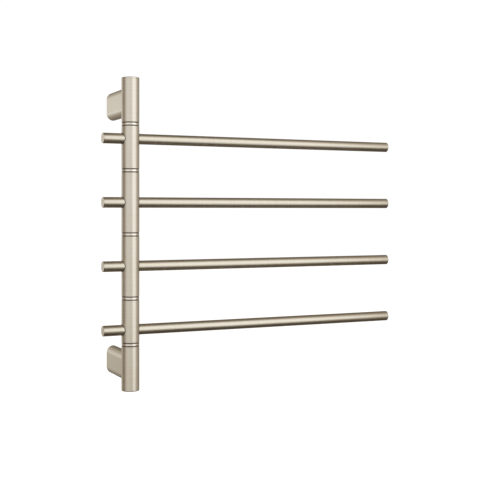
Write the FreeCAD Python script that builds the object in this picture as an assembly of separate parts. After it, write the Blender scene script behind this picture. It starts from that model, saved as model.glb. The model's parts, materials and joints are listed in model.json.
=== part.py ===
import FreeCAD, Part
import math
import os

# Swivelling towel warmer: a round wall post in six lengths, four of which turn and carry a heated arm.
# Millimetres. The origin is the middle of the lower wall plate's back face, +Y runs into the wall,
# +Z is up, and the arms lie along +X when they are folded flat against the wall.

# ---- overall layout -------------------------------------------------------------------------
WALL_DISTANCE = 105.0
POST_R = 16.0
POST_BORE_R = 14.5
POST_BOTTOM = -41.3
POST_TOP = 519.2
LOWER_BRACKET_Z = 0.0
UPPER_BRACKET_Z = 477.0
ARM_Z = [409.5, 295.5, 181.5, 67.5]
JOINT_Z = [435.5, 352.5, 238.5, 124.5, 42.0]
SEAM_BEVEL = 0.12
EDGE_BEVEL = 0.5

# ---- post end caps --------------------------------------------------------------------------
POST_CAP_T = 3.0
POST_PLUG_L = 10.0
POST_RIM_R = 1.2

# ---- cross arms -----------------------------------------------------------------------------
ARM_R = 9.5
ARM_BORE_R = 8.3
ARM_LEFT = -51.5
ARM_RIGHT = 543.0
ARM_CAP_T = 2.0
ARM_PLUG_L = 9.0
ARM_RIM_R = 0.5
ARM_WIRE_HOLE_R = 3.2
ARM_SEAM_W = 0.7
ARM_SEAM_D = 1.1

# ---- swivel joints --------------------------------------------------------------------------
JOINT_HALF = 3.5
RING_H = 4.0
RING_BORE_R = 12.1
RUNNING_GAP = 0.05
WASHER_R = 15.0
WASHER_T = (2.0 * JOINT_HALF - RING_H - RUNNING_GAP) / 2.0
STUB_L = 9.0
JOURNAL_R = 12.0
JOURNAL_BORE_R = 9.0
JOURNAL_TAIL = 1.6
BUSH_BORE_R = 12.05
BUSH_L = 8.0
SNAP_T = 1.2
SNAP_R = 13.9
SNAP_SEAT_R = 11.2
SNAP_CLEAR = 0.1
SNAP_MOUTH = 4.0

# ---- brackets -------------------------------------------------------------------------------
BRACKET_W = 25.0
BRACKET_H = 52.0
BRACKET_WALL = 3.0
BRACKET_NOSE_Y = -76.0
BOLT_OFFSET = 13.0
BOLT_R = 3.0
BOLT_CLEAR_R = 3.3
BOLT_SHANK_L = 27.0
BOLT_HEAD_R = 5.0
BOLT_HEAD_H = 6.0
BOLT_HEX_AF = 5.0
BOLT_HEX_DEPTH = 3.0
ANCHOR_MARGIN = 9.0
WIRE_HOLE_Z = 8.0
WIRE_HOLE_R = 4.0

# ---- wall plates ----------------------------------------------------------------------------
PLATE_T = 8.0
PLATE_CLEAR = 0.15
WALL_SCREW_R = 2.5
WALL_SCREW_HEAD_R = 4.8
WALL_SCREW_SPACING = 30.0
CABLE_HOLE_R = 5.0
GRUB_R = 2.0
GRUB_Y = -4.0
GRUB_L = 5.0
GRUB_SUNK = 0.4
GRUB_HEX_AF = 2.0
GRUB_HEX_DEPTH = 2.0
GROMMET_BORE_R = 3.0
GROMMET_FLANGE_R = 7.0
GROMMET_FLANGE_T = 1.5

# ---- heating and wiring ---------------------------------------------------------------------
ELEMENT_R = 6.0
ELEMENT_START = 20.0
ELEMENT_END = 520.0
COLLAR_L = 12.0
LOOM_R = 1.8
LOOM_OFFSET = 12.0
LOOM_LEAN = 18.0
LOOM_STRAIGHT = 3.5
LOOM_GAP = 0.05
LOOM_BEND_R = 15.0
TERMINAL_Y0 = -56.0
TERMINAL_D = 22.0
TERMINAL_W = 13.0
TERMINAL_Z0 = -4.0
TERMINAL_H = 17.0
TERMINAL_WAY = 3.0
TERMINAL_PITCH = 5.0

X = FreeCAD.Vector(1, 0, 0)
Y = FreeCAD.Vector(0, 1, 0)
Z = FreeCAD.Vector(0, 0, 1)


def at(x, y, z):
    return FreeCAD.Vector(x, y, z)


def on_post(z, x=0.0, y=0.0):
    """A point measured from the post's axis."""
    return at(x, y - WALL_DISTANCE, z)


def rod(r, length, start, axis=Z):
    return Part.makeCylinder(r, length, start, axis)


def pipe(r_out, r_in, length, start, axis=Z):
    return rod(r_out, length, start, axis).cut(rod(r_in, length, start, axis))


def place(solid, centre, direction):
    """Stand a solid drawn about +Z at a centre, along a new direction."""
    solid.Placement = FreeCAD.Placement(centre, FreeCAD.Rotation(Z, direction))
    return solid


def turned(points, centre, direction=Z):
    """A solid turned from (radius, height) corners about an axis through the centre."""
    corners = [at(r, 0, h) for r, h in points]
    wire = Part.makePolygon(corners + [corners[0]])
    return place(Part.Face(wire).revolve(at(0, 0, 0), Z, 360), centre, direction)


def hexagon(across_flats, depth, start, direction):
    """A six-sided key socket, sunk from the start along the direction."""
    r = across_flats / math.sqrt(3.0)
    angles = [math.radians(60.0 * i) for i in range(7)]
    outline = Part.makePolygon([at(r * math.cos(a), r * math.sin(a), 0) for a in angles])
    return place(Part.Face(outline).extrude(at(0, 0, depth)), start, direction)


def slot_block(width, height, y0, y1, z):
    """A block running along Y, with flat sides and full-round ends."""
    side = width / 2.0
    top = height / 2.0
    shoulder = top - side
    left_low, right_low = at(-side, y0, z - shoulder), at(side, y0, z - shoulder)
    left_high, right_high = at(-side, y0, z + shoulder), at(side, y0, z + shoulder)
    outline = [
        Part.makeLine(right_low, right_high),
        Part.Arc(right_high, at(0, y0, z + top), left_high).toShape(),
        Part.makeLine(left_high, left_low),
        Part.Arc(left_low, at(0, y0, z - top), right_low).toShape(),
    ]
    return Part.Face(Part.Wire(outline)).extrude(at(0, y1 - y0, 0))


def export(name, shapes):
    for shape in shapes:
        if not shape.isValid() or len(shape.Solids) != 1:
            raise RuntimeError("bad solid in " + name)
    whole = shapes[0] if len(shapes) == 1 else Part.makeCompound(shapes)
    whole.exportStep("parts/" + name + ".step")


# ---- post -----------------------------------------------------------------------------------
def post_length(z0, z1, bevel_low, bevel_high):
    """One length of the post tube, finely bevelled outside at each end."""
    points = [
        (POST_BORE_R, z0),
        (POST_R - bevel_low, z0),
        (POST_R, z0 + bevel_low),
        (POST_R, z1 - bevel_high),
        (POST_R - bevel_high, z1),
        (POST_BORE_R, z1),
    ]
    return turned(points, on_post(0))


def upper_post():
    tube = post_length(JOINT_Z[0] + JOINT_HALF, POST_TOP - POST_CAP_T, EDGE_BEVEL, SEAM_BEVEL)
    for dz in (-BOLT_OFFSET, BOLT_OFFSET):
        tube = tube.cut(rod(BOLT_CLEAR_R, 20.0, on_post(UPPER_BRACKET_Z + dz), Y))
    return tube


def lower_post():
    tube = post_length(POST_BOTTOM + POST_CAP_T, JOINT_Z[4] - JOINT_HALF, SEAM_BEVEL, EDGE_BEVEL)
    tube = tube.cut(rod(BOLT_CLEAR_R, 20.0, on_post(LOWER_BRACKET_Z - BOLT_OFFSET), Y))
    return tube.cut(rod(WIRE_HOLE_R, 20.0, on_post(LOWER_BRACKET_Z + WIRE_HOLE_Z), Y))


def sleeve(n):
    """Turning length n of the post, with the hole that its arm passes through and a seam round it outside."""
    tube = post_length(JOINT_Z[n + 1] + JOINT_HALF, JOINT_Z[n] - JOINT_HALF, EDGE_BEVEL, EDGE_BEVEL)
    start = on_post(ARM_Z[n], -2.0 * POST_R)
    seam = rod(ARM_R + ARM_SEAM_W, 4.0 * POST_R, start, X)
    seam = seam.cut(rod(POST_R - ARM_SEAM_D, 4.0 * ARM_R, on_post(ARM_Z[n] - 2.0 * ARM_R)))
    return tube.cut(rod(ARM_R, 4.0 * POST_R, start, X)).cut(seam)


def end_cap(bore_r, outer_r, plug_l, cap_t, rim_r, centre, direction):
    """Welded-on end cap: a disc with a rounded rim, and a plug that sits in the tube."""
    top = plug_l + cap_t
    bend = rim_r * (1.0 - math.sqrt(0.5))
    corners = [
        at(0, 0, 0),
        at(bore_r - 0.5, 0, 0),
        at(bore_r, 0, 0.5),
        at(bore_r, 0, plug_l),
        at(outer_r - SEAM_BEVEL, 0, plug_l),
        at(outer_r, 0, plug_l + SEAM_BEVEL),
        at(outer_r, 0, top - rim_r),
    ]
    edges = [Part.makeLine(a, b) for a, b in zip(corners, corners[1:])]
    rim = Part.Arc(corners[-1], at(outer_r - bend, 0, top - bend), at(outer_r - rim_r, 0, top))
    edges.append(rim.toShape())
    edges.append(Part.makeLine(at(outer_r - rim_r, 0, top), at(0, 0, top)))
    edges.append(Part.makeLine(at(0, 0, top), corners[0]))
    return place(Part.Face(Part.Wire(edges)).revolve(at(0, 0, 0), Z, 360), centre, direction)


def post_cap(up):
    side = 1.0 if up else -1.0
    end = POST_TOP if up else POST_BOTTOM
    centre = on_post(end - side * (POST_PLUG_L + POST_CAP_T))
    return end_cap(POST_BORE_R, POST_R, POST_PLUG_L, POST_CAP_T, POST_RIM_R, centre, Z * side)


# ---- swivel joints --------------------------------------------------------------------------
def spigot(z, side):
    """Turned spigot: a stub pressed into one length of post and a journal for the next length."""
    seat = 2.0 * JOINT_HALF + BUSH_L + SNAP_CLEAR
    tail = seat + SNAP_T + JOURNAL_TAIL
    points = [
        (JOURNAL_BORE_R, -STUB_L),
        (POST_BORE_R - 0.4, -STUB_L),
        (POST_BORE_R, -STUB_L + 0.4),
        (POST_BORE_R, 0),
        (JOURNAL_R, 0),
        (JOURNAL_R, seat),
        (SNAP_SEAT_R, seat),
        (SNAP_SEAT_R, seat + SNAP_T),
        (JOURNAL_R, seat + SNAP_T),
        (JOURNAL_R, tail - 0.4),
        (JOURNAL_R - 0.4, tail),
        (JOURNAL_BORE_R, tail),
    ]
    return turned(points, on_post(z - side * JOINT_HALF), Z * side)


def joint_ring(z, side):
    """Bright ring that shows between the two dark grooves of a joint."""
    points = [
        (RING_BORE_R, 0),
        (POST_R - EDGE_BEVEL, 0),
        (POST_R, EDGE_BEVEL),
        (POST_R, RING_H - EDGE_BEVEL),
        (POST_R - EDGE_BEVEL, RING_H),
        (RING_BORE_R, RING_H),
    ]
    return turned(points, on_post(z - side * (JOINT_HALF - WASHER_T)), Z * side)


def thrust_washers(z, side):
    """The two washers that a joint turns on, one each side of its ring."""
    base = z - side * JOINT_HALF
    starts = [base, base + side * (WASHER_T + RING_H)]
    return [pipe(WASHER_R, RING_BORE_R, WASHER_T, on_post(s), Z * side) for s in starts]


def bush(z, side):
    """Plain bearing pressed into the length of post that turns on the journal."""
    return pipe(POST_BORE_R, BUSH_BORE_R, BUSH_L, on_post(z + side * JOINT_HALF), Z * side)


def snap_ring(z, side):
    """Split retaining ring in the journal's groove, which keeps the joint from lifting apart."""
    seat = z + side * (JOINT_HALF + BUSH_L + SNAP_CLEAR)
    ring = pipe(SNAP_R, SNAP_SEAT_R, SNAP_T, on_post(seat), Z * side)
    mouth = Part.makeBox(SNAP_MOUTH, 20.0, 3.0 * SNAP_T, on_post(seat - 1.5 * SNAP_T, -SNAP_MOUTH / 2.0))
    return ring.cut(mouth)


# ---- arms -----------------------------------------------------------------------------------
def arm_tube(n):
    """Arm n, open at both ends for its caps and on the wall side for its wires."""
    length = ARM_RIGHT - ARM_LEFT - 2.0 * ARM_CAP_T
    points = [
        (ARM_BORE_R, 0),
        (ARM_R - SEAM_BEVEL, 0),
        (ARM_R, SEAM_BEVEL),
        (ARM_R, length - SEAM_BEVEL),
        (ARM_R - SEAM_BEVEL, length),
        (ARM_BORE_R, length),
    ]
    tube = turned(points, on_post(ARM_Z[n], ARM_LEFT + ARM_CAP_T), X)
    return tube.cut(rod(ARM_WIRE_HOLE_R, 2.0 * ARM_R, on_post(ARM_Z[n]), Y))


def arm_caps(n):
    inset = ARM_PLUG_L + ARM_CAP_T
    sizes = (ARM_BORE_R, ARM_R, ARM_PLUG_L, ARM_CAP_T, ARM_RIM_R)
    left = end_cap(*sizes, on_post(ARM_Z[n], ARM_LEFT + inset), X * -1)
    right = end_cap(*sizes, on_post(ARM_Z[n], ARM_RIGHT - inset), X)
    return [left, right]


def heating_element(n):
    """Rod element along the arm, on three collars that bear on the arm's bore."""
    solid = rod(ELEMENT_R, ELEMENT_END - ELEMENT_START, on_post(ARM_Z[n], ELEMENT_START), X)
    middle = (ELEMENT_START + ELEMENT_END - COLLAR_L) / 2.0
    for x in (ELEMENT_START + 8.0, middle, ELEMENT_END - COLLAR_L - 8.0):
        solid = solid.fuse(rod(ARM_BORE_R, COLLAR_L, on_post(ARM_Z[n], x), X))
    return solid.removeSplitter()


# ---- wiring ---------------------------------------------------------------------------------
def cable(points):
    """Round cable through the points, with a ball at each bend so that it runs on smoothly."""
    pieces = [Part.makeSphere(LOOM_R, p) for p in points[1:-1]]
    pieces += [rod(LOOM_R, (b - a).Length, a, b - a) for a, b in zip(points, points[1:])]
    return pieces[0].fuse(pieces[1:]) if len(pieces) > 1 else pieces[0]


def loom(n):
    """Cable of length n: up the axis, round behind the arm with a branch to its element, and on up."""
    z = ARM_Z[n]
    near = z - LOOM_STRAIGHT
    far = z + LOOM_STRAIGHT
    points = [
        on_post(JOINT_Z[n + 1] + LOOM_GAP),
        on_post(near - LOOM_LEAN),
        on_post(near, 0.0, LOOM_OFFSET),
        on_post(z, 0.0, LOOM_OFFSET),
    ]
    if n > 0:
        points += [
            on_post(far, 0.0, LOOM_OFFSET),
            on_post(far + LOOM_LEAN),
            on_post(JOINT_Z[n] - LOOM_GAP),
        ]
    branch = [on_post(z, 0.0, LOOM_OFFSET), on_post(z), on_post(z, ELEMENT_START)]
    whole = cable(points).fuse([cable(branch), Part.makeSphere(LOOM_R, branch[0])])
    return whole.removeSplitter()


def supply_loom():
    """Cable from the terminal block, through the bracket's nose and up the axis to the lowest joint."""
    z = LOWER_BRACKET_Z + WIRE_HOLE_Z
    r = LOOM_BEND_R
    bend = r * (1.0 - math.sqrt(0.5))
    start = at(0, TERMINAL_Y0, z)
    turn_in = on_post(z, 0.0, r)
    turn_out = on_post(z + r)
    path = Part.Wire([
        Part.makeLine(start, turn_in),
        Part.Arc(turn_in, on_post(z + bend, 0.0, bend), turn_out).toShape(),
        Part.makeLine(turn_out, on_post(JOINT_Z[4] - LOOM_GAP)),
    ])
    return path.makePipeShell([Part.Wire(Part.makeCircle(LOOM_R, start, Y))], True, False)


# ---- brackets and wall plates ---------------------------------------------------------------
def bracket(z, side, bolt_offsets, wire_hole):
    """Hollow slot-shaped bracket: the nose fits round the post and the open end meets the wall."""
    inner_w = BRACKET_W - 2.0 * BRACKET_WALL
    inner_h = BRACKET_H - 2.0 * BRACKET_WALL
    nose_l = WALL_DISTANCE + BRACKET_NOSE_Y + 1.0
    body = slot_block(BRACKET_W, BRACKET_H, -WALL_DISTANCE, 0.0, z)
    body = body.cut(slot_block(inner_w, inner_h, BRACKET_NOSE_Y, 1.0, z))
    body = body.cut(rod(POST_R, 2.0 * BRACKET_H, on_post(z - BRACKET_H)))
    for dz in bolt_offsets:
        body = body.cut(rod(BOLT_CLEAR_R, nose_l, on_post(z + dz), Y))
    if wire_hole:
        body = body.cut(rod(WIRE_HOLE_R, nose_l, on_post(z + WIRE_HOLE_Z), Y))
    return body.cut(rod(GRUB_R, BRACKET_H, at(0, GRUB_Y, z), Z * side))


def grub_tip():
    """How far the inner end of a bracket's grub screw lies from the bracket's middle."""
    return BRACKET_H / 2.0 - GRUB_SUNK - GRUB_L


def wall_plate(z, side, cable_hole):
    """Slab screwed to the wall, which a bracket slides over and grips with its grub screw."""
    width = BRACKET_W - 2.0 * (BRACKET_WALL + PLATE_CLEAR)
    height = BRACKET_H - 2.0 * (BRACKET_WALL + PLATE_CLEAR)
    sink = WALL_SCREW_HEAD_R - WALL_SCREW_R
    plate = slot_block(width, height, -PLATE_T, 0.0, z)
    for dz in (-WALL_SCREW_SPACING / 2.0, WALL_SCREW_SPACING / 2.0):
        mouth = at(0, -PLATE_T, z + dz)
        plate = plate.cut(rod(WALL_SCREW_R, PLATE_T, mouth, Y))
        plate = plate.cut(Part.makeCone(WALL_SCREW_HEAD_R, WALL_SCREW_R, sink, mouth, Y))
    if cable_hole:
        plate = plate.cut(rod(CABLE_HOLE_R, PLATE_T, at(0, -PLATE_T, z), Y))
    return plate.cut(rod(GRUB_R, GRUB_L, at(0, GRUB_Y, z + side * grub_tip()), Z * side))


def grub_screw(z, side):
    tip = z + side * grub_tip()
    screw = rod(GRUB_R, GRUB_L, at(0, GRUB_Y, tip), Z * side)
    return screw.cut(hexagon(GRUB_HEX_AF, GRUB_HEX_DEPTH, at(0, GRUB_Y, tip + side * GRUB_L), Z * -side))


def bracket_bolt(z):
    """Cap screw from inside the bracket, through its nose, into the anchor in the post."""
    seat = at(0, BRACKET_NOSE_Y, z)
    bolt = rod(BOLT_HEAD_R, BOLT_HEAD_H, seat, Y).fuse(rod(BOLT_R, BOLT_SHANK_L, seat, Y * -1))
    crown = at(0, BRACKET_NOSE_Y + BOLT_HEAD_H, z)
    return bolt.removeSplitter().cut(hexagon(BOLT_HEX_AF, BOLT_HEX_DEPTH, crown, Y * -1))


def anchor(bolt_z):
    """Threaded block inside the post that the bracket bolts pull against."""
    z0 = min(bolt_z) - ANCHOR_MARGIN
    z1 = max(bolt_z) + ANCHOR_MARGIN
    block = rod(POST_BORE_R, z1 - z0, on_post(z0))
    for z in bolt_z:
        block = block.cut(rod(BOLT_R, 20.0, on_post(z, 0.0, -3.0), Y))
    return block


def terminal_block():
    """Three-way block on the cavity's side wall, with a wire way and a clamp opening for each core."""
    x0 = BRACKET_WALL - BRACKET_W / 2.0
    block = Part.makeBox(TERMINAL_W, TERMINAL_D, TERMINAL_H, at(x0, TERMINAL_Y0, TERMINAL_Z0))
    middle = TERMINAL_Z0 + TERMINAL_H / 2.0
    for i in (-1, 0, 1):
        z = middle + i * TERMINAL_PITCH - TERMINAL_WAY / 2.0
        wire_way = at(x0 + TERMINAL_W / 2.0, TERMINAL_Y0 + TERMINAL_D - 8.0, z)
        clamp = at(x0 + TERMINAL_W - 4.0, TERMINAL_Y0 + 6.0, z)
        block = block.cut(Part.makeBox(TERMINAL_WAY, 8.0, TERMINAL_WAY, wire_way))
        block = block.cut(Part.makeBox(4.0, TERMINAL_WAY, TERMINAL_WAY, clamp))
    return block


def grommet():
    """Rubber grommet that lines the wall plate's cable hole."""
    lining = pipe(CABLE_HOLE_R, GROMMET_BORE_R, PLATE_T - 0.5, at(0, -PLATE_T, 0), Y)
    start = at(0, -PLATE_T - GROMMET_FLANGE_T, 0)
    flange = pipe(GROMMET_FLANGE_R, GROMMET_BORE_R, GROMMET_FLANGE_T, start, Y)
    return lining.fuse(flange).removeSplitter()


os.makedirs("parts", exist_ok=True)

# ---- fixed pieces ---------------------------------------------------------------------------
upper_bolts = [UPPER_BRACKET_Z - BOLT_OFFSET, UPPER_BRACKET_Z + BOLT_OFFSET]
lower_bolts = [LOWER_BRACKET_Z - BOLT_OFFSET]
export("upper_post_tube", [upper_post()])
export("lower_post_tube", [lower_post()])
export("upper_end_cap", [post_cap(True)])
export("lower_end_cap", [post_cap(False)])
export("upper_bracket", [bracket(UPPER_BRACKET_Z, 1.0, (-BOLT_OFFSET, BOLT_OFFSET), False)])
export("lower_bracket", [bracket(LOWER_BRACKET_Z, -1.0, (-BOLT_OFFSET,), True)])
export("upper_wall_plate", [wall_plate(UPPER_BRACKET_Z, 1.0, False)])
export("lower_wall_plate", [wall_plate(LOWER_BRACKET_Z, -1.0, True)])
export("bracket_grub_screws", [grub_screw(UPPER_BRACKET_Z, 1.0), grub_screw(LOWER_BRACKET_Z, -1.0)])
export("bracket_bolts", [bracket_bolt(z) for z in upper_bolts + lower_bolts])
export("upper_anchor", [anchor(upper_bolts)])
export("lower_anchor", [anchor(lower_bolts)])
export("cable_grommet", [grommet()])
export("terminal_block", [terminal_block()])
export("supply_loom", [supply_loom()])

# ---- joints: the last one is turned over, so that its bush sits in the lower fixed length ------
for k, joint_z in enumerate(JOINT_Z, start=1):
    side = -1.0 if k == len(JOINT_Z) else 1.0
    export("spigot_%d" % k, [spigot(joint_z, side)])
    export("joint_ring_%d" % k, [joint_ring(joint_z, side)])
    export("thrust_washers_%d" % k, thrust_washers(joint_z, side))
    export("bush_%d" % k, [bush(joint_z, side)])
    export("snap_ring_%d" % k, [snap_ring(joint_z, side)])

# ---- turning lengths ------------------------------------------------------------------------
for n in range(len(ARM_Z)):
    export("sleeve_%d" % (n + 1), [sleeve(n)])
    export("arm_tube_%d" % (n + 1), [arm_tube(n)])
    export("arm_end_caps_%d" % (n + 1), arm_caps(n))
    export("heating_element_%d" % (n + 1), [heating_element(n)])
    export("wiring_loom_%d" % (n + 1), [loom(n)])
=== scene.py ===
import json
import math

import bmesh
import bpy
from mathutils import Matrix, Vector


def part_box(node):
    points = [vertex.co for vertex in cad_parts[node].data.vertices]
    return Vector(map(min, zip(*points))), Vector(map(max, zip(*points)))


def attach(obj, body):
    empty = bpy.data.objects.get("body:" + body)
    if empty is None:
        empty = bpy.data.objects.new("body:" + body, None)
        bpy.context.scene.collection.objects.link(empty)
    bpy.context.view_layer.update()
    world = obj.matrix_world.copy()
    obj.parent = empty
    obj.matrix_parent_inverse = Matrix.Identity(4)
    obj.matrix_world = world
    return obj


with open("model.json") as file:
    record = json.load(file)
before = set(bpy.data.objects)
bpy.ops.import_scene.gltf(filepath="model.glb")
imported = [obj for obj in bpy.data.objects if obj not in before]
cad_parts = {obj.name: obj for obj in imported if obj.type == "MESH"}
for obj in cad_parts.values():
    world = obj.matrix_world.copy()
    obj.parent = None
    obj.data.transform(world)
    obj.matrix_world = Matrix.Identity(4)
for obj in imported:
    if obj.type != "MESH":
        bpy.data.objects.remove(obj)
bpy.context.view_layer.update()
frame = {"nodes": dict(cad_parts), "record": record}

nodes = frame["nodes"]
QUARTER_TURN = math.radians(90.0)

# ---- shader helpers -------------------------------------------------------------------------


class Shader:
    """A small wrapper that makes nodes and links in one material or world."""

    def __init__(self, tree):
        self.tree = tree
        tree.nodes.clear()

    def node(self, kind, inputs=None, **settings):
        made = self.tree.nodes.new(kind)
        for key, value in settings.items():
            setattr(made, key, value)
        for key, value in (inputs or {}).items():
            if isinstance(value, bpy.types.NodeSocket):
                self.tree.links.new(value, made.inputs[key])
            else:
                made.inputs[key].default_value = value
        return made

    def math(self, operation, a, b=0.0, c=0.0, clamp=False):
        made = self.node("ShaderNodeMath", {0: a, 1: b, 2: c}, operation=operation)
        made.use_clamp = clamp
        return made.outputs[0]

    def ramp(self, fac, stops, interpolation="LINEAR"):
        made = self.node("ShaderNodeValToRGB", {"Fac": fac})
        band = made.color_ramp
        band.interpolation = interpolation
        while len(band.elements) < len(stops):
            band.elements.new(0.5)
        for element, (place, colour) in zip(band.elements, stops):
            element.position = place
            grey = isinstance(colour, float)
            element.color = (colour, colour, colour, 1.0) if grey else (*colour, 1.0)
        return made.outputs["Color"]

    def mix(self, fac, a, b, blend="MIX"):
        made = self.node("ShaderNodeMix", {0: fac}, data_type="RGBA", blend_type=blend)
        for index, value in ((6, a), (7, b)):
            if isinstance(value, bpy.types.NodeSocket):
                self.tree.links.new(value, made.inputs[index])
            else:
                made.inputs[index].default_value = (*value, 1.0)
        return made.outputs[2]


def new_material(name):
    made = bpy.data.materials.new(name)
    made.use_nodes = True
    return made, Shader(made.node_tree)


def stretched(sh, scale):
    """Object coordinates, scaled so that a noise comes out as streaks."""
    coords = sh.node("ShaderNodeTexCoord")
    return sh.node("ShaderNodeMapping", {"Vector": coords.outputs["Object"], "Scale": scale}).outputs[0]


def noise(sh, vector, scale, detail=3.0, rough=0.55):
    made = sh.node("ShaderNodeTexNoise", {
        "Vector": vector,
        "Scale": scale,
        "Detail": detail,
        "Roughness": rough,
    })
    return made.outputs["Fac"]


# ---- metals ---------------------------------------------------------------------------------
# The post and the arms are one brushed nickel. The post's copy is painted lighter, and the arms' copy
# painted darker and warmer: painted light and shade for how the lamps fall on each.
NICKEL = (0.72, 0.65, 0.532)
ARM_NICKEL_SHADED = (0.675, 0.595, 0.468)
BRIGHT_NICKEL = (0.84, 0.765, 0.655)
BRACKET_NICKEL = (0.682, 0.621, 0.50)


def brushed(name, base, rough, streak, turn_axis=None, aniso=0.5, bump=0.06):
    """Brushed metal: its streaks run along the axes where streak is small."""
    made, sh = new_material(name)
    fine = noise(sh, stretched(sh, streak), 1.0, 4.0, 0.7)
    coarse = noise(sh, stretched(sh, tuple(0.22 * s for s in streak)), 1.0, 2.0, 0.5)
    cloud = noise(sh, stretched(sh, (14.0, 14.0, 14.0)), 1.0, 2.0, 0.5)
    lines = sh.math("MULTIPLY_ADD", coarse, 0.45, sh.math("MULTIPLY", fine, 0.55))
    dark = tuple(0.905 * c for c in base)
    light = tuple(min(1.0, 1.07 * c) for c in base)
    colour = sh.ramp(lines, [(0.30, dark), (0.50, base), (0.70, light)])
    tint = sh.ramp(cloud, [(0.35, (0.975, 0.97, 0.96)), (0.65, (1.0, 1.0, 1.0))])
    colour = sh.mix(1.0, colour, tint, "MULTIPLY")
    roughness = sh.math("MULTIPLY_ADD", lines, 0.16, rough - 0.08)
    roughness = sh.math("MULTIPLY_ADD", cloud, 0.05, sh.math("SUBTRACT", roughness, 0.025))
    height = sh.node("ShaderNodeBump", {"Height": lines, "Strength": bump, "Distance": 0.0002})
    shader = sh.node("ShaderNodeBsdfPrincipled", {
        "Base Color": colour,
        "Metallic": 1.0,
        "Roughness": roughness,
        "Normal": height.outputs[0],
        "Anisotropic": aniso,
    })
    if turn_axis:
        tangent = sh.node("ShaderNodeTangent", direction_type="RADIAL", axis=turn_axis)
        sh.tree.links.new(tangent.outputs[0], shader.inputs["Tangent"])
    out = sh.node("ShaderNodeOutputMaterial")
    sh.tree.links.new(shader.outputs[0], out.inputs[0])
    return made


def moulded(name, base, rough, grain=900.0, bump=0.15, subsurface=0.0):
    """Moulded plastic or rubber with a fine grain and faint flow marks."""
    made, sh = new_material(name)
    grains = noise(sh, stretched(sh, (grain, grain, grain)), 1.0, 3.0, 0.6)
    flow = noise(sh, stretched(sh, (60.0, 60.0, 60.0)), 1.0, 2.0, 0.5)
    dark = tuple(0.82 * c for c in base)
    colour = sh.ramp(flow, [(0.35, dark), (0.65, base)])
    roughness = sh.math("MULTIPLY_ADD", grains, 0.18, rough - 0.09)
    height = sh.node("ShaderNodeBump", {"Height": grains, "Strength": bump, "Distance": 0.0001})
    shader = sh.node("ShaderNodeBsdfPrincipled", {
        "Base Color": colour,
        "Roughness": roughness,
        "Normal": height.outputs[0],
        "Subsurface Weight": subsurface,
    })
    out = sh.node("ShaderNodeOutputMaterial")
    sh.tree.links.new(shader.outputs[0], out.inputs[0])
    return made


# Noise scales for each direction of brushing: round a Z or X tube, and along Z.
ROUND_Z = (9.0, 9.0, 2600.0)
ROUND_X = (2600.0, 9.0, 9.0)
ALONG_Z = (1500.0, 1500.0, 8.0)
# The post's and the arms' nickel are one finish; their two colours differ only by painted light and
# shade.
post_metal = brushed("nickel_post", NICKEL, 0.30, ROUND_Z, "Z")
arm_metal = brushed("nickel_arm", ARM_NICKEL_SHADED, 0.30, ROUND_X, "X")
ring_metal = brushed("nickel_ring", BRIGHT_NICKEL, 0.20, ROUND_Z, "Z")
bracket_metal = brushed("nickel_bracket", BRACKET_NICKEL, 0.18, ALONG_Z, None, 0.0, 0.02)
plate_metal = brushed("cast_plate", (0.62, 0.62, 0.61), 0.5, (400.0, 400.0, 400.0), None, 0.0, 0.3)
zinc_metal = brushed("zinc_hardware", (0.56, 0.56, 0.55), 0.35, (300.0, 300.0, 300.0), None, 0.0, 0.15)
turned_metal = brushed("turned_steel", (0.58, 0.57, 0.55), 0.28, ROUND_Z, "Z")
spring_metal = brushed("blued_spring", (0.16, 0.16, 0.18), 0.38, ROUND_Z, "Z")
element_metal = brushed("element_sheath", (0.45, 0.41, 0.38), 0.42, (7.0, 900.0, 900.0), None, 0.0)
washer_plastic = moulded("washer_polymer", (0.035, 0.032, 0.028), 0.55)
bush_plastic = moulded("bush_polymer", (0.16, 0.16, 0.17), 0.5)
rubber = moulded("grommet_rubber", (0.022, 0.022, 0.022), 0.7)
terminal_plastic = moulded("terminal_plastic", (0.80, 0.78, 0.71), 0.42, subsurface=0.05)
silicone = moulded("loom_silicone", (0.36, 0.09, 0.06), 0.5)

FINISH = {
    "brushed_nickel_post": post_metal,
    "brushed_nickel_arm": arm_metal,
    "polished_ring": ring_metal,
    "brushed_nickel_bracket": bracket_metal,
    "die_cast_plate": plate_metal,
    "zinc_hardware": zinc_metal,
    "turned_steel": turned_metal,
    "spring_steel": spring_metal,
    "element_sheath": element_metal,
    "washer_polymer": washer_plastic,
    "bush_polymer": bush_plastic,
    "black_rubber": rubber,
    "terminal_plastic": terminal_plastic,
    "loom_sleeving": silicone,
}
for part in frame["record"]["subparts"]:
    piece = nodes[part["node"]]
    for slot in piece.material_slots:
        slot.material = FINISH[part["material_slot"]]

# ---- dark rubber rings in the seams where the arms leave the post: painted shade for the seams' shadow ---
# In metres: radii about the arm, depth below the post's surface, height above it, and edge rounding.
SHADE_RING_INNER = 0.00952
SHADE_RING_OUTER = 0.01016
SHADE_RING_DEPTH = 0.0010
SHADE_RING_PROUD = 0.00045
SHADE_RING_ROUND = 0.0002
SHADE_RING_STEPS = 96
SHADE_RING_ROUND_STEPS = 4
SHARP_ANGLE = math.radians(40.0)


def middle(node):
    """The centre of a node's box."""
    low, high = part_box(node)
    return [(a + b) / 2.0 for a, b in zip(low, high)]


def shade_ring_profile(post_r):
    """Corners of the dark ring's cross-section: radius about the arm, and radius about the post."""
    top = post_r + SHADE_RING_PROUD
    corners = [(SHADE_RING_INNER, post_r - SHADE_RING_DEPTH), (SHADE_RING_OUTER, post_r - SHADE_RING_DEPTH)]
    for k in range(SHADE_RING_ROUND_STEPS + 1):
        a = QUARTER_TURN * k / SHADE_RING_ROUND_STEPS
        about_arm = SHADE_RING_OUTER - SHADE_RING_ROUND * (1.0 - math.cos(a))
        corners.append((about_arm, top - SHADE_RING_ROUND * (1.0 - math.sin(a))))
    corners.append((SHADE_RING_INNER, top))
    return corners


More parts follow.
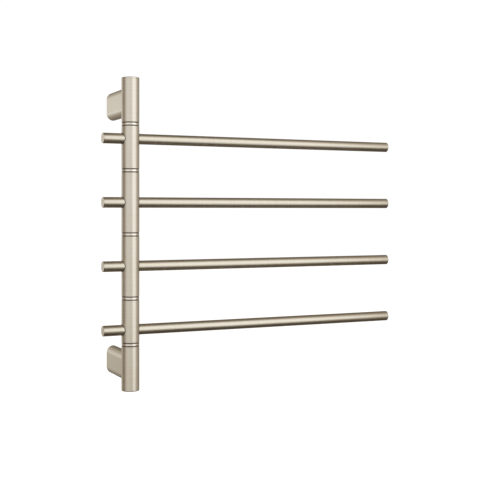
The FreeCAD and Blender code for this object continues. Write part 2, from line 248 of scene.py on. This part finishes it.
def arm_seam_shade_rings(name, arm, sleeve, body):
    """The two dark rings, left and right, that follow the curve where one arm meets the post and paint
    the shadow in its seam.
    """
    low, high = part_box(sleeve)
    axis = middle(sleeve)
    height = middle(arm)[2]
    profile = shade_ring_profile((high[0] - low[0]) / 2.0)
    bm = bmesh.new()
    for side in (-1.0, 1.0):
        rings = []
        for i in range(SHADE_RING_STEPS):
            a = 2.0 * math.pi * i / SHADE_RING_STEPS
            ring = []
            for r, out_r in profile:
                y = r * math.cos(a)
                x = side * math.sqrt(out_r * out_r - y * y)
                ring.append(bm.verts.new((axis[0] + x, axis[1] + y, height + r * math.sin(a))))
            rings.append(ring)
        for here, there in zip(rings, rings[1:] + rings[:1]):
            for j in range(len(profile)):
                k = (j + 1) % len(profile)
                bm.faces.new([here[j], there[j], there[k], here[k]])
    bmesh.ops.recalc_face_normals(bm, faces=bm.faces)
    made = bpy.data.meshes.new(name)
    bm.to_mesh(made)
    bm.free()
    for face in made.polygons:
        face.use_smooth = True
    made.set_sharp_from_angle(angle=SHARP_ANGLE)
    # The black rubber here is painted shade: a dark piece laid where the seam round the arm is in
    # shadow.
    made.materials.append(rubber)
    shade_ring = bpy.data.objects.new(name, made)
    bpy.context.collection.objects.link(shade_ring)
    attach(shade_ring, body)


# Each arm gets two dark rings that paint the shadow in its seam at the post.
for n in (1, 2, 3, 4):
    arm_seam_shade_rings("arm_seals_%d" % n, "arm_tube_%d" % n, "sleeve_%d" % n, "swivel_%d" % n)

# ---- studio ---------------------------------------------------------------------------------
FLOOR_Z = -0.75
FLOOR_REACH = 14.0
corner_signs = [(-1, -1), (1, -1), (1, 1), (-1, 1)]
mesh = bpy.data.meshes.new("floor")
mesh.from_pydata([(FLOOR_REACH * x, FLOOR_REACH * y, 0) for x, y in corner_signs], [], [(0, 1, 2, 3)])
floor = bpy.data.objects.new("floor", mesh)
floor.location = (0.0, 0.0, FLOOR_Z)
bpy.context.collection.objects.link(floor)
floor_paint, sh = new_material("studio_floor")
paint = sh.node("ShaderNodeBsdfPrincipled", {
    "Base Color": (0.9, 0.9, 0.9, 1.0),
    "Roughness": 0.9,
    "Emission Color": (1.0, 1.0, 1.0, 1.0),
    "Emission Strength": 0.75,
})
out = sh.node("ShaderNodeOutputMaterial")
sh.tree.links.new(paint.outputs[0], out.inputs[0])
mesh.materials.append(floor_paint)
floor.visible_glossy = False

CAMERA_AT = Vector((-0.5296, -1.7229, 0.2800))
CAMERA_YAW = math.radians(24.75)
POST_Y = -0.105
# The direction from the post to the camera, seen from above.
FRONT = math.atan2(CAMERA_AT.y - POST_Y, CAMERA_AT.x)

WHITE = (1.04, 1.04, 1.04)

world = bpy.data.worlds.new("studio")
bpy.context.scene.world = world
world.use_nodes = True
sh = Shader(world.node_tree)
ray = sh.node("ShaderNodeTexCoord").outputs["Generated"]
turned_ray = sh.node("ShaderNodeVectorRotate", {"Vector": ray, "Angle": -FRONT}, rotation_type="Z_AXIS")
axes = sh.node("ShaderNodeSeparateXYZ", {"Vector": turned_ray.outputs[0]})
around = sh.math("ARCTAN2", axes.outputs["Y"], axes.outputs["X"])
around = sh.math("MULTIPLY_ADD", around, 0.5 / math.pi, 0.5)
above = sh.math("ARCSINE", axes.outputs["Z"])
above = sh.math("MULTIPLY_ADD", above, 1.0 / math.pi, 0.5)


def deg(stops, whole):
    """Stops given in degrees, as places from 0 to 1 on a ramp that spans whole degrees."""
    return [(a / whole + 0.5, v) for a, v in stops]


# The studio's brightness round the post, from the front view, and by height in front and behind.
around_light = sh.ramp(around, deg([
    (-180, 0.32), (-168, 0.48), (-156, 0.72), (-146, 0.84), (-132, 0.94), (-117, 0.52), (-92, 0.21),
    (-75, 0.42), (-60, 0.80), (-45, 0.94), (-20, 0.95), (10, 0.82), (50, 0.78), (76, 0.72), (94, 0.55),
    (114, 0.47), (140, 0.46), (165, 0.34), (180, 0.32)], 360.0), "EASE")
height_light = sh.ramp(above, deg([
    (-90, 0.08), (-62, 0.09), (-42, 0.15), (-28, 0.36), (-10, 0.84), (0, 0.95), (12, 1.0), (30, 1.0),
    (45, 0.83), (58, 0.56), (70, 0.33), (90, 0.22)], 180.0), "EASE")
back_height = sh.ramp(above, deg([
    (-90, 0.16), (-60, 0.28), (-32, 0.38), (-22, 0.44), (-16, 0.52), (-9, 0.71), (-3, 0.93), (4, 0.93),
    (9, 0.78), (14, 0.60), (20, 0.54), (32, 0.54), (46, 0.50), (62, 0.38), (90, 0.22)], 180.0), "EASE")
behind = sh.ramp(around, deg([
    (-180, 1.0), (-132, 1.0), (-100, 0.0), (100, 0.0), (132, 1.0), (180, 1.0)], 360.0))
height_light = sh.mix(behind, height_light, back_height)
strength = sh.math("MULTIPLY", around_light, height_light)
# Dim parts of the studio are warm and bright parts cool.
warmth = sh.ramp(strength, [
    (0.05, (1.0, 0.84, 0.68)), (0.35, (1.0, 0.90, 0.78)), (0.60, (1.0, 0.94, 0.87)),
    (0.85, (1.0, 1.02, 1.06)), (1.0, (1.0, 1.06, 1.13))])
studio = sh.node("ShaderNodeVectorMath", {0: warmth, "Scale": strength}, operation="SCALE").outputs[0]
# The camera sees a plain white background, and the object reflects the studio.
seen = sh.node("ShaderNodeLightPath").outputs["Is Camera Ray"]
colour = sh.mix(seen, studio, WHITE)
background = sh.node("ShaderNodeBackground", {"Color": colour, "Strength": 1.0})
out = sh.node("ShaderNodeOutputWorld")
sh.tree.links.new(background.outputs[0], out.inputs[0])

bpy.context.scene.view_settings.view_transform = "Standard"

POST_AXIS = Vector((0.0, POST_Y, 0.24))


def softbox(name, turn, lift, distance, width, height, radiance, colour):
    """A large soft light that faces the post, turned right of the front view by turn degrees."""
    flat = FRONT + math.radians(turn)
    rise = math.radians(lift)
    away = Vector((math.cos(rise) * math.cos(flat), math.cos(rise) * math.sin(flat), math.sin(rise)))
    lamp = bpy.data.lights.new(name, "AREA")
    lamp.shape = "ELLIPSE"
    lamp.size = width
    lamp.size_y = height
    lamp.energy = radiance * math.pi * math.pi / 4.0 * width * height
    lamp.color = colour
    held = bpy.data.objects.new(name, lamp)
    held.location = POST_AXIS + distance * away
    held.rotation_euler = away.to_track_quat("Z", "Y").to_euler()
    held.visible_camera = False
    bpy.context.collection.objects.link(held)


softbox("key", turn=50, lift=10, distance=1.0, width=0.95, height=1.8, radiance=0.65,
        colour=(0.87, 1.0, 1.17))
softbox("rim", turn=-144, lift=15, distance=2.4, width=1.5, height=1.1, radiance=0.12,
        colour=(1.0, 0.98, 0.94))

# ---- camera ---------------------------------------------------------------------------------
camera = bpy.data.cameras.new("camera")
camera.lens = 70.77
camera.sensor_width = 36.0
camera.shift_y = -0.0602
rig = bpy.data.objects.new("camera", camera)
rig.location = CAMERA_AT
rig.rotation_euler = (QUARTER_TURN, 0.0, -CAMERA_YAW)
bpy.context.collection.objects.link(rig)
bpy.context.scene.camera = rig
